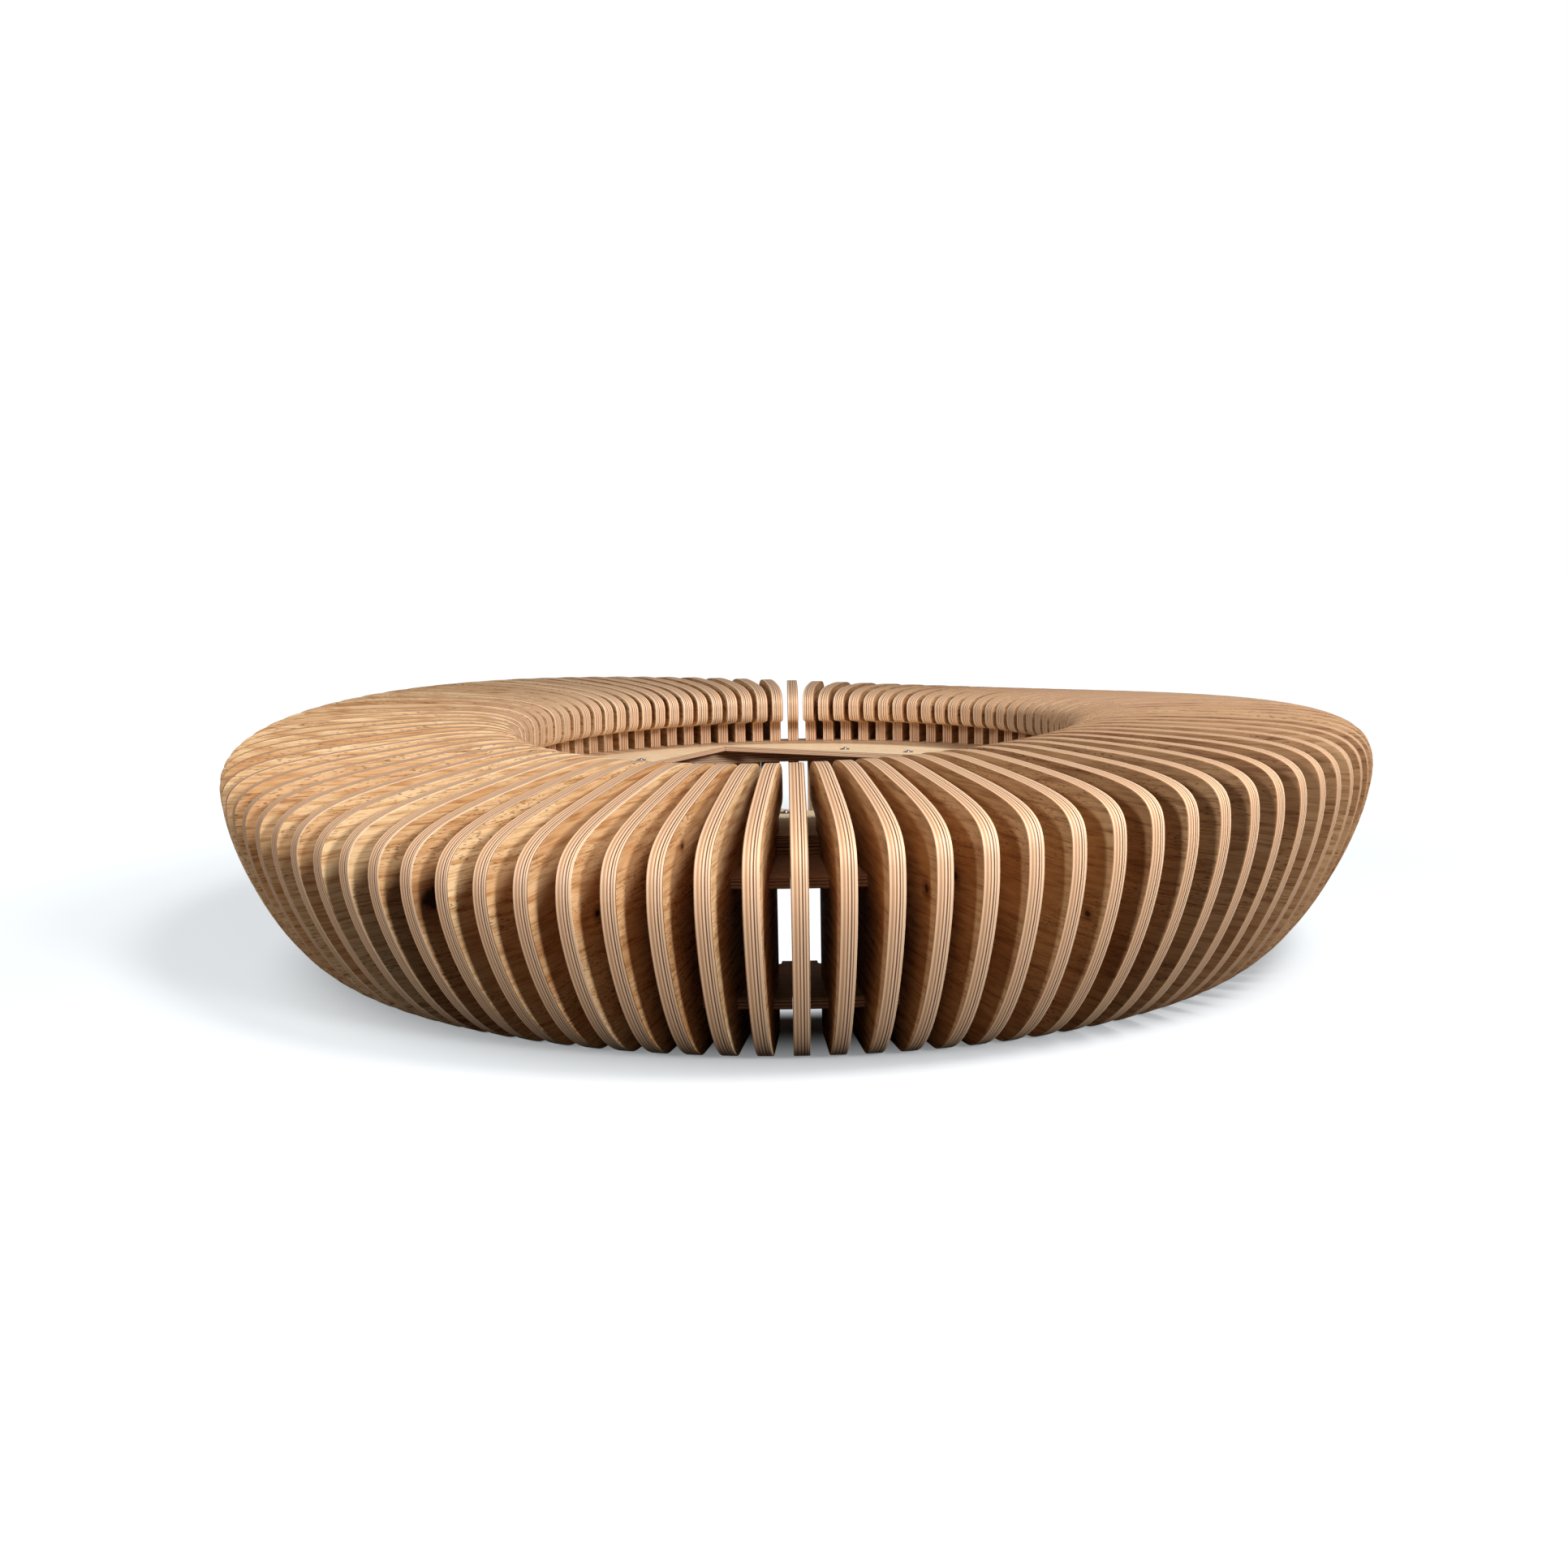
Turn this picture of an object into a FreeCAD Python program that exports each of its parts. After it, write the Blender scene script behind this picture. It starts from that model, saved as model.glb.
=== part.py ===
"""Tree bench: upright plywood ribs set radially on two flat rings round an open middle.

Millimetres, +Z up, the floor at z = 0. The origin is on the floor, at the middle of the overall box.
The ring centre lies a little in front of it, because the bench is wider at the back than at the front.

A rib's angle is 0 at the front (-Y) and grows towards +X. Every rib is drawn in its own upright plane,
with the radius from the ring centre as its first coordinate and the height as its second, and is then
turned into place.
"""
import FreeCAD, Part
import math
import os

os.makedirs("parts", exist_ok=True)

# Sheet thicknesses
rib_sheet = 27.0
ring_sheet = 18.0
packer_sheet = 21.0
cover_sheet = 12.0
splice_sheet = 18.0

# Ribs
rib_count = 96
ribs_per_node = 3

# Shoulder: the widest point of a rib. Its circle is set off towards the back.
shoulder_mean_radius = 1187.2
shoulder_shift = 82.2
shoulder_mean_height = 362.4
shoulder_height_front = -26.8
shoulder_height_right = -19.4
shoulder_height_front_twice = -24.9
shoulder_height_right_twice = 43.7
shoulder_mean_fullness = 0.72
shoulder_fullness_front = -0.07
shoulder_fullness_right = 0.055
shoulder_fullness_front_twice = -0.07
shoulder_fullness_right_twice = 0.039

# Crown: the seat top above a fixed radius, and how much it leans outwards there
crown_radius = 783.0
crown_mean_depth = 88.7
crown_height_front = -15.5
crown_height_right = -0.5
crown_height_front_twice = -14.0
crown_height_right_twice = 14.4
crown_mean_slope = -0.04
crown_slope_front = -0.053
crown_slope_right = 0.012
crown_slope_front_twice = -0.029
crown_slope_right_twice = 0.056
crown_mean_fullness = 0.859
crown_fullness_front = -0.004
crown_fullness_right = 0.052
crown_fullness_front_twice = 0.106
crown_fullness_right_twice = 0.064

# Nose: the rounded inner end over the tree opening
nose_radius = 578.0
nose_crown_reach = 224.1
nose_fullness = 0.517
nose_lift = 46.5
nose_underside_front = -13.5
nose_corner = 28.0
nose_underside_fall = 12.0

# Haunch: the step under the nose that rests on the cover boards
haunch_bearing = 48.0

# Stem: the inner edge below the haunch, a little further in at the foot
stem_top_radius = 758.5
stem_lean = 7.5

# Foot: the outer lower edge. Its circle is set off like the shoulder's.
foot_mean_radius = 951.0
foot_shift = 56.1
foot_radius_right = -12.9
foot_radius_front_twice = -2.8
foot_radius_right_twice = 6.8
foot_angle = 16.8
foot_reach = 123.9
foot_corner = 11.0
shoulder_drop_share = 0.271

# Rings
lower_ring_underside = 78.0
lower_ring_outer_radius = 891.0
lower_ring_stem_reach = 115.5
upper_ring_underside = 286.0
upper_ring_outer_radius = 934.0
upper_ring_stem_reach = 86.5
ring_segments = 6
lower_ring_joint_angle = 28.125
upper_ring_joint_angle = 43.125
joint_gap = 0.6

# Notches in the lower ring's inner edge, one in line with every rib
notch_mouth = 22.0
notch_depth = 21.0
notch_chamfer = 3.0

# Cover boards on the packers, and their square hole for the trunk. The hole's middle lies a little
# behind the ring centre: so far to the back right, and so far to the back left.
cover_stem_gap = 21.5
trunk_half_side = 420.0
trunk_shift_right = 22.0
trunk_shift_left = 15.5
trunk_angle = 61.5

# Battens under the cover boards, along the four sides of the hole
batten_setback = 33.0
batten_width = 60.0
batten_sheet = 6.0
batten_end_gap = 1.0

# Splice plates under the joints of the lower ring
splice_setback = 10.0
splice_stem_gap = 9.0
splice_angle = 8.0

# Screws
shank_radius = 2.0
shank_clearance = 0.1
dome_radius = 4.7
dome_height = 2.4
hole_dome_radius = 5.0
hole_dome_height = 4.0
washer_radius = 12.0
washer_sheet = 1.5
pan_radius = 4.0
pan_height = 2.2
screw_end_gap = 3.0
hole_screw_pitch = 169.0
hole_screw_shift = 21.5
hole_screw_end_margin = 120.0
hole_screw_setback = 43.0
cover_edge_screws = 24
cover_edge_screw_setback = 25.0
packer_screws_each = 4
packer_screw_angle = 12.0

# Clearances
lap_side_gap = 0.25
lap_height_gap = 0.5
lap_end_gap = 0.5

# How far a cutting shape stands out of the piece it cuts
cut_margin = 1.0

# Sizes worked out from the ones above
ring_centre = FreeCAD.Vector(0.0, -shoulder_shift, 0.0)
rib_pitch = 360.0 / rib_count
lower_ring_top = lower_ring_underside + ring_sheet
upper_ring_top = upper_ring_underside + ring_sheet
cover_underside = upper_ring_top + packer_sheet
cover_top = cover_underside + cover_sheet
lap_width = rib_sheet + 2.0 * lap_side_gap
stem_foot_radius = stem_top_radius - stem_lean
lower_ring_inner_radius = stem_top_radius - lower_ring_stem_reach
upper_ring_inner_radius = stem_top_radius - upper_ring_stem_reach
cover_radius = stem_top_radius - cover_stem_gap
haunch_radius = cover_radius - haunch_bearing
nose_mean_underside = cover_top + nose_lift
crown_mean_height = nose_mean_underside + crown_mean_depth
packer_inner_radius = upper_ring_inner_radius
packer_outer_radius = cover_radius
packer_screw_radius = (packer_inner_radius + packer_outer_radius) / 2.0
cover_edge_screw_radius = cover_radius - cover_edge_screw_setback
splice_inner_radius = lower_ring_inner_radius + splice_setback
splice_outer_radius = stem_foot_radius - splice_stem_gap
lower_ring_lap_radius = (stem_foot_radius + lower_ring_outer_radius) / 2.0
upper_ring_lap_radius = (stem_top_radius + upper_ring_outer_radius) / 2.0
batten_inner = trunk_half_side + batten_setback
batten_outer = batten_inner + batten_width
batten_reach = packer_inner_radius - batten_end_gap
batten_shift = max(abs(trunk_shift_right), abs(trunk_shift_left))
batten_half = math.sqrt(batten_reach ** 2 - (batten_outer + batten_shift) ** 2) - batten_shift
batten_underside = cover_underside - batten_sheet


def wave(angle, mean, front=0.0, right=0.0, front_twice=0.0, right_twice=0.0):
    """A size that changes smoothly from rib to rib."""
    a = math.radians(angle)
    once = front * math.cos(a) + right * math.sin(a)
    twice = front_twice * math.cos(2.0 * a) + right_twice * math.sin(2.0 * a)
    return mean + once + twice


def point(radius, height):
    """A point in a rib's own plane."""
    return FreeCAD.Vector(radius, 0.0, height)


def line(start, end):
    return Part.LineSegment(start, end).toShape()


def curve(*poles):
    bezier = Part.BezierCurve()
    bezier.setPoles(list(poles))
    return bezier.toShape()


def blend(a, b, share):
    return a + (b - a) * share


def upper_part(poles, share):
    """The part of a cubic curve above the given share, and the point where it starts."""
    p0, p1, p2, p3 = poles
    p01 = blend(p0, p1, share)
    p12 = blend(p1, p2, share)
    p23 = blend(p2, p3, share)
    p012 = blend(p01, p12, share)
    p123 = blend(p12, p23, share)
    start = blend(p012, p123, share)
    return [start, p123, p23, p3]


def stem_radius(height):
    """Radius of the stem's inner edge at a height."""
    return stem_foot_radius + (stem_top_radius - stem_foot_radius) * height / cover_top


def slot_edges(underside, lap_radius):
    """The slot that opens inwards, as three edges walked downwards along the stem."""
    top = underside + ring_sheet + lap_height_gap
    upper_mouth = point(stem_radius(top), top)
    upper_end = point(lap_radius, top)
    lower_end = point(lap_radius, underside)
    lower_mouth = point(stem_radius(underside), underside)
    return [upper_mouth, upper_end, lower_end, lower_mouth]


def rib_outline(angle):
    """The closed outline of the rib at an angle, with the two ring slots in its stem."""
    shoulder_radius = wave(angle, shoulder_mean_radius, -shoulder_shift)
    shoulder_height = wave(angle, shoulder_mean_height, shoulder_height_front, shoulder_height_right,
                           shoulder_height_front_twice, shoulder_height_right_twice)
    crown_height = wave(angle, crown_mean_height, crown_height_front, crown_height_right,
                        crown_height_front_twice, crown_height_right_twice)
    shoulder_fullness = wave(angle, shoulder_mean_fullness, shoulder_fullness_front,
                             shoulder_fullness_right, shoulder_fullness_front_twice,
                             shoulder_fullness_right_twice)
    crown_slope = wave(angle, crown_mean_slope, crown_slope_front, crown_slope_right,
                       crown_slope_front_twice, crown_slope_right_twice)
    crown_fullness = wave(angle, crown_mean_fullness, crown_fullness_front, crown_fullness_right,
                          crown_fullness_front_twice, crown_fullness_right_twice)
    nose_underside = wave(angle, nose_mean_underside, nose_underside_front)
    foot_radius = wave(angle, foot_mean_radius, -foot_shift, foot_radius_right,
                       foot_radius_front_twice, foot_radius_right_twice)
    crown_reach = crown_fullness * (shoulder_radius - crown_radius)
    shoulder_rise = shoulder_fullness * (crown_height - shoulder_height)
    nose_rise = nose_fullness * (crown_height - nose_underside - nose_corner)

    foot = point(foot_radius, 0.0)
    shoulder = point(shoulder_radius, shoulder_height)
    crown = point(crown_radius, crown_height)
    nose = point(nose_radius, nose_underside + nose_corner)
    lean = math.radians(foot_angle)
    foot_pull = point(foot_reach * math.cos(lean), foot_reach * math.sin(lean))
    drop = point(0.0, shoulder_drop_share * shoulder_height)
    flank = [foot, foot + foot_pull, shoulder - drop, shoulder]
    flank = upper_part(flank, foot_corner / (3.0 * foot_reach))
    toe = point(foot_radius - foot_corner, 0.0)
    crown_pull = FreeCAD.Vector(1.0, 0.0, crown_slope)
    shoulder_pull = point(0.0, shoulder_rise)
    nose_pull = point(0.0, nose_rise)
    nose_back = point(nose_radius + nose_corner, nose_underside)
    corner = point(nose_radius, nose_underside)
    haunch_top = point(haunch_radius, nose_underside - nose_underside_fall)
    haunch_low = point(haunch_radius, cover_top)
    stem_top = point(stem_top_radius, cover_top)
    heel = point(stem_foot_radius, 0.0)
    upper_slot = slot_edges(upper_ring_underside, upper_ring_lap_radius)
    lower_slot = slot_edges(lower_ring_underside, lower_ring_lap_radius)

    edges = [
        curve(toe, foot, flank[0]),
        curve(*flank),
        curve(shoulder, shoulder + shoulder_pull, crown + crown_pull * crown_reach, crown),
        curve(crown, crown - crown_pull * nose_crown_reach, nose + nose_pull, nose),
        curve(nose, corner, nose_back),
    ]
    corners = [nose_back, haunch_top, haunch_low, stem_top] + upper_slot + lower_slot + [heel, toe]
    for start, end in zip(corners[:-1], corners[1:]):
        edges.append(line(start, end))
    return Part.Wire(edges)


def turn_into_place(shape, angle):
    """Turn a shape drawn along +X to a rib angle round the ring centre."""
    shape.rotate(FreeCAD.Vector(0, 0, 0), FreeCAD.Vector(0, 0, 1), angle - 90.0)
    shape.translate(ring_centre)
    return shape


def rib(angle):
    face = Part.Face(rib_outline(angle))
    face.translate(FreeCAD.Vector(0.0, -rib_sheet / 2.0, 0.0))
    return turn_into_place(face.extrude(FreeCAD.Vector(0.0, rib_sheet, 0.0)), angle)


def block(low, high):
    size = high - low
    return Part.makeBox(size.x, size.y, size.z, low)


def ring_sector(inner_radius, outer_radius, underside, thickness, start_angle, end_angle, gap):
    """A flat sector of a ring between two rib angles, short of each by half the gap."""
    trim = math.degrees(gap / 2.0 / inner_radius)
    first = start_angle + trim - 90.0
    last = end_angle - trim - 90.0
    middle = (first + last) / 2.0

    def at(radius, angle):
        a = math.radians(angle)
        return ring_centre + FreeCAD.Vector(radius * math.cos(a), radius * math.sin(a), underside)

    outer = Part.Arc(at(outer_radius, first), at(outer_radius, middle), at(outer_radius, last)).toShape()
    inner = Part.Arc(at(inner_radius, last), at(inner_radius, middle), at(inner_radius, first)).toShape()
    end = line(at(outer_radius, last), at(inner_radius, last))
    start = line(at(inner_radius, first), at(outer_radius, first))
    face = Part.Face(Part.Wire([outer, end, inner, start]))
    return face.extrude(FreeCAD.Vector(0.0, 0.0, thickness))


def shank_hole(x, y, low, high):
    radius = shank_radius + shank_clearance
    return Part.makeCylinder(radius, high - low, FreeCAD.Vector(x, y, low))


def polar(radius, angle):
    """The X and Y of a point at a rib angle."""
    a = math.radians(angle - 90.0)
    return ring_centre.x + radius * math.cos(a), ring_centre.y + radius * math.sin(a)


def angles_between(start_angle, end_angle):
    """The angles of the ribs between two joints."""
    first = math.ceil(start_angle / rib_pitch)
    last = math.floor(end_angle / rib_pitch)
    return [number * rib_pitch for number in range(first, last + 1)]


def lap_cut(angle, underside, lap_radius, outer_radius):
    """The slot that a rib needs in a ring, open at the ring's outer edge."""
    half = lap_width / 2.0
    low = FreeCAD.Vector(lap_radius - lap_end_gap, -half, underside - cut_margin)
    high = FreeCAD.Vector(outer_radius + cut_margin, half, underside + ring_sheet + cut_margin)
    return turn_into_place(block(low, high), angle)


def notch_cut(angle):
    """The chamfered notch in the lower ring's inner edge."""
    half = notch_mouth / 2.0
    inner = lower_ring_inner_radius - cut_margin
    shoulder = lower_ring_inner_radius + notch_depth - notch_chamfer
    end = lower_ring_inner_radius + notch_depth
    z = lower_ring_underside - cut_margin
    corners = [
        FreeCAD.Vector(inner, -half, z),
        FreeCAD.Vector(shoulder, -half, z),
        FreeCAD.Vector(end, notch_chamfer - half, z),
        FreeCAD.Vector(end, half - notch_chamfer, z),
        FreeCAD.Vector(shoulder, half, z),
        FreeCAD.Vector(inner, half, z),
    ]
    face = Part.Face(Part.makePolygon(corners + corners[:1]))
    return turn_into_place(face.extrude(FreeCAD.Vector(0.0, 0.0, ring_sheet + 2.0 * cut_margin)), angle)


def screw(x, y, seat, length, head_radius, head_height, up):
    """A screw with a domed head on its seat. The shank runs down, or up when the head is below."""
    sphere_radius = (head_radius ** 2 + head_height ** 2) / (2.0 * head_height)
    sphere = Part.makeSphere(sphere_radius)
    sphere.translate(FreeCAD.Vector(0.0, 0.0, head_height - sphere_radius))
    cap = sphere.common(Part.makeCylinder(head_radius + cut_margin, head_height + cut_margin))
    shank = Part.makeCylinder(shank_radius, length, FreeCAD.Vector(0.0, 0.0, -length))
    shape = cap.fuse(shank)
    if up:
        shape.rotate(FreeCAD.Vector(0, 0, 0), FreeCAD.Vector(1, 0, 0), 180.0)
    shape.translate(FreeCAD.Vector(x, y, seat))
    return shape


def washer(x, y, seat):
    """A flat washer on its seat, with room for the shank."""
    disc = Part.makeCylinder(washer_radius, washer_sheet, FreeCAD.Vector(x, y, seat))
    return disc.cut(shank_hole(x, y, seat - cut_margin, seat + washer_sheet + cut_margin))


def export(name, shapes):
    if len(shapes) == 1:
        shape = shapes[0]
    else:
        shape = Part.makeCompound(shapes)
    shape.exportStep("parts/" + name + ".step")


# Ribs, counted from the front towards the right
ribs = [rib(number * rib_pitch) for number in range(rib_count)]
for group in range(rib_count // ribs_per_node):
    first = group * ribs_per_node
    export("ribs_{:02d}".format(group + 1), ribs[first:first + ribs_per_node])

# Packer screw positions, shared by the upper ring and the packers
segment_angle = 360.0 / ring_segments
packer_middles = [upper_ring_joint_angle + i * segment_angle for i in range(ring_segments)]
packer_screw_places = []
for middle in packer_middles:
    for number in range(packer_screws_each):
        offset = (number - (packer_screws_each - 1) / 2.0) * packer_screw_angle
        packer_screw_places.append(polar(packer_screw_radius, middle + offset))

# Splice screw positions: two on each side of every joint of the lower ring
splice_middles = [lower_ring_joint_angle + i * segment_angle for i in range(ring_segments)]
splice_screw_radius = (splice_inner_radius + splice_outer_radius) / 2.0
splice_screw_places = []
for middle in splice_middles:
    for share in (-0.36, -0.12, 0.12, 0.36):
        splice_screw_places.append(polar(splice_screw_radius, middle + share * splice_angle))

# Lower ring
splice_underside = lower_ring_underside - splice_sheet
splice_holes = [shank_hole(x, y, splice_underside - cut_margin, lower_ring_top + cut_margin)
                for x, y in splice_screw_places]
for i in range(ring_segments):
    start = lower_ring_joint_angle + (i - 1) * segment_angle
    end = start + segment_angle
    segment = ring_sector(lower_ring_inner_radius, lower_ring_outer_radius,
                          lower_ring_underside, ring_sheet, start, end, joint_gap)
    cuts = []
    for angle in angles_between(start, end):
        cuts.append(lap_cut(angle, lower_ring_underside, lower_ring_lap_radius, lower_ring_outer_radius))
        cuts.append(notch_cut(angle))
    segment = segment.cut(Part.makeCompound(cuts))
    segment = segment.cut(Part.makeCompound(splice_holes))
    export("lower_ring_{}".format(i + 1), [segment])

# Splice plates under the lower ring's joints
splices = []
for middle in splice_middles:
    plate = ring_sector(splice_inner_radius, splice_outer_radius, splice_underside, splice_sheet,
                        middle - splice_angle / 2.0, middle + splice_angle / 2.0, 0.0)
    splices.append(plate.cut(Part.makeCompound(splice_holes)))
export("lower_splices", splices)

# Upper ring
packer_holes = [shank_hole(x, y, upper_ring_underside - cut_margin, cover_underside + cut_margin)
                for x, y in packer_screw_places]
for i in range(ring_segments):
    start = upper_ring_joint_angle + (i - 1) * segment_angle
    end = start + segment_angle
    segment = ring_sector(upper_ring_inner_radius, upper_ring_outer_radius,
                          upper_ring_underside, ring_sheet, start, end, joint_gap)
    cuts = [lap_cut(angle, upper_ring_underside, upper_ring_lap_radius, upper_ring_outer_radius)
            for angle in angles_between(start, end)]
    segment = segment.cut(Part.makeCompound(cuts))
    segment = segment.cut(Part.makeCompound(packer_holes))
    export("upper_ring_{}".format(i + 1), [segment])

# Cover screw positions: a row along each side of the hole, and single ones near the outer edge
turn = math.radians(trunk_angle)
back_right = FreeCAD.Vector(math.cos(turn), math.sin(turn), 0.0)
back_left = FreeCAD.Vector(-math.sin(turn), math.cos(turn), 0.0)
trunk_centre = ring_centre + back_right * trunk_shift_right + back_left * trunk_shift_left
hole_places = []
row_reach = batten_half - hole_screw_end_margin
row_first = math.ceil((-row_reach - hole_screw_shift) / hole_screw_pitch - 0.5)
row_last = math.floor((row_reach - hole_screw_shift) / hole_screw_pitch - 0.5)
for number in range(row_first, row_last + 1):
    along = (number + 0.5) * hole_screw_pitch + hole_screw_shift
    for side in (-1.0, 1.0):
        out = side * (trunk_half_side + hole_screw_setback)
        hole_places.append(trunk_centre + back_right * out + back_left * along)
        hole_places.append(trunk_centre + back_left * out + back_right * along)
edge_places = []
for number in range(cover_edge_screws):
    angle = (number + 0.5) * 360.0 / cover_edge_screws + rib_pitch / 2.0
    x, y = polar(cover_edge_screw_radius, rib_pitch * (math.floor(angle / rib_pitch) + 0.5))
    edge_places.append(FreeCAD.Vector(x, y, 0.0))
hole_row_holes = [shank_hole(place.x, place.y, batten_underside - cut_margin, cover_top + cut_margin)
                  for place in hole_places]
edge_hole_low = upper_ring_top + screw_end_gap - cut_margin
edge_holes = [shank_hole(place.x, place.y, edge_hole_low, cover_top + cut_margin)
              for place in edge_places]
cover_cuts = Part.makeCompound(hole_row_holes + edge_holes)

# Packers, centred on the upper ring's joints
packers = []
for middle in packer_middles:
    packer = ring_sector(packer_inner_radius, packer_outer_radius, upper_ring_top, packer_sheet,
                         middle - segment_angle / 2.0, middle + segment_angle / 2.0, joint_gap)
    packer = packer.cut(Part.makeCompound(packer_holes))
    packers.append(packer.cut(cover_cuts))
for i, packer in enumerate(packers):
    export("packer_{}".format(i + 1), [packer])

# Cover boards, mitred at the corners of the hole
disc = Part.makeCylinder(cover_radius, cover_sheet, FreeCAD.Vector(0.0, 0.0, cover_underside))
hole = block(FreeCAD.Vector(-trunk_half_side, -trunk_half_side, cover_underside - cut_margin),
             FreeCAD.Vector(trunk_half_side, trunk_half_side, cover_top + cut_margin))
mitre = block(FreeCAD.Vector(0.0, -joint_gap / 2.0, cover_underside - cut_margin),
              FreeCAD.Vector(cover_radius + trunk_half_side, joint_gap / 2.0, cover_top + cut_margin))
cuts = [hole]
for number in range(4):
    cut = mitre.copy()
    cut.rotate(FreeCAD.Vector(0, 0, 0), FreeCAD.Vector(0, 0, 1), 45.0 + 90.0 * number)
    cuts.append(cut)
hole_and_mitres = Part.makeCompound(cuts)
hole_and_mitres.rotate(FreeCAD.Vector(0, 0, 0), FreeCAD.Vector(0, 0, 1), trunk_angle)
hole_and_mitres.translate(trunk_centre)
disc.translate(ring_centre)
cover = disc.cut(hole_and_mitres).cut(cover_cuts)
boards = sorted(cover.Solids, key=lambda board: math.atan2(board.CenterOfMass.x, -board.CenterOfMass.y))
for i, board in enumerate(boards):
    export("cover_board_{}".format(i + 1), [board])

# Battens under the cover boards
battens = []
for number in range(4):
    batten = block(FreeCAD.Vector(batten_inner, -batten_half, batten_underside),
                   FreeCAD.Vector(batten_outer, batten_half, cover_underside))
    batten.rotate(FreeCAD.Vector(0, 0, 0), FreeCAD.Vector(0, 0, 1), trunk_angle + 90.0 * number)
    batten.translate(trunk_centre)
    battens.append(batten.cut(cover_cuts))
export("cover_battens", battens)

# Screws
washer_top = cover_top + washer_sheet
hole_screw_length = washer_top - batten_underside - screw_end_gap
edge_screw_length = cover_top - upper_ring_top - screw_end_gap
cover_screws = [screw(place.x, place.y, washer_top, hole_screw_length, hole_dome_radius,
                      hole_dome_height, False) for place in hole_places]
cover_screws += [washer(place.x, place.y, cover_top) for place in hole_places]
cover_screws += [screw(place.x, place.y, cover_top, edge_screw_length, dome_radius, dome_height, False)
                 for place in edge_places]
export("cover_screws", cover_screws)
packer_screw_length = cover_underside - upper_ring_underside - screw_end_gap
packer_screws = [screw(x, y, upper_ring_underside, packer_screw_length, pan_radius, pan_height, True)
                 for x, y in packer_screw_places]
export("packer_screws", packer_screws)
splice_screw_length = lower_ring_top - splice_underside - screw_end_gap
splice_screws = [screw(x, y, splice_underside, splice_screw_length, pan_radius, pan_height, True)
                 for x, y in splice_screw_places]
export("splice_screws", splice_screws)
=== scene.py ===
"""The looks of a tree bench: 96 plywood ribs on two flat rings, with cover boards round the trunk.

Metres, +Z up, the floor at z = 0. The origin is on the floor, at the middle of the bench's box.
A rib's angle is 0 at the front (-Y) and grows towards +X.
"""
import math

import bpy
import numpy as np
from mathutils import Matrix, Vector


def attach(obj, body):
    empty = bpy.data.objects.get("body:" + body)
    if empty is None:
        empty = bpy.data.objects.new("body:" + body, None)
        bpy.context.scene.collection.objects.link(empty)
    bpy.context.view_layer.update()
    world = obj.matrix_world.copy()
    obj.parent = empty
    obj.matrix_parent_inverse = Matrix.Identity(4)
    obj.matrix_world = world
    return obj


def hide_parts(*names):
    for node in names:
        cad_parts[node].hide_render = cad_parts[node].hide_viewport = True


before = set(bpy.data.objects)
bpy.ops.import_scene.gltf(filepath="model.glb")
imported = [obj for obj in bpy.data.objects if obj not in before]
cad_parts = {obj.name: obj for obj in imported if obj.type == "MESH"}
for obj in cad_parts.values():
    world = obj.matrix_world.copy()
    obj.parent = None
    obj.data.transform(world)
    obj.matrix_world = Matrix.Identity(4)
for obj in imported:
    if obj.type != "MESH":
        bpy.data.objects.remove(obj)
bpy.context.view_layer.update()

bl_info = {
    "name": "Tree bench",
    "version": (1, 0, 0),
    "blender": (4, 5, 0),
    "location": "3D View > Sidebar > Tree bench",
    "description": "Builds the plywood ribs, boards, screws and studio of a tree bench",
    "category": "Add Mesh",
}

RIB_COUNT = 96
RIBS_PER_NODE = 3
MM = 0.001
COVER_SHEET = 12.0 * MM
PACKER_SHEET = 21.0 * MM
BUMP_HEIGHT = 0.4 * MM


def tint(red, green, blue):
    """A colour as it looks on a screen, 0 to 255, turned into scene values."""
    shares = np.array([red, green, blue]) / 255.0
    low = shares / 12.92
    high = ((shares + 0.055) / 1.055) ** 2.4
    return tuple(float(v) for v in np.where(shares <= 0.04045, low, high))


def length(name, description, default):
    """A size in metres."""
    return bpy.props.FloatProperty(name=name, description=description, default=default,
                                   unit="LENGTH", subtype="DISTANCE")


def share(name, description, default):
    """A plain number."""
    return bpy.props.FloatProperty(name=name, description=description, default=default)


def angle(name, description, default):
    """An angle in radians."""
    return bpy.props.FloatProperty(name=name, description=description, default=default,
                                   unit="ROTATION", subtype="ANGLE", precision=4)


def power(name, description, default):
    """The power of a lamp in watts."""
    return bpy.props.FloatProperty(name=name, description=description, default=default, unit="POWER")


def round_lengths(name, description, default):
    """The five values of a size in metres that changes round the bench."""
    return bpy.props.FloatVectorProperty(name=name, description=description, default=default,
                                         size=5, unit="LENGTH", precision=4)


def round_shares(name, description, default):
    """The five values of a plain number that changes round the bench."""
    return bpy.props.FloatVectorProperty(name=name, description=description, default=default,
                                         size=5, precision=3)


def colour(name, description, default):
    """A colour in scene values."""
    return bpy.props.FloatVectorProperty(name=name, description=description, default=default,
                                         size=3, subtype="COLOR", min=0.0, max=1.0)


ROUND = "Mean, then how much it changes with the cosine and sine of the rib's angle and of twice it"


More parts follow.
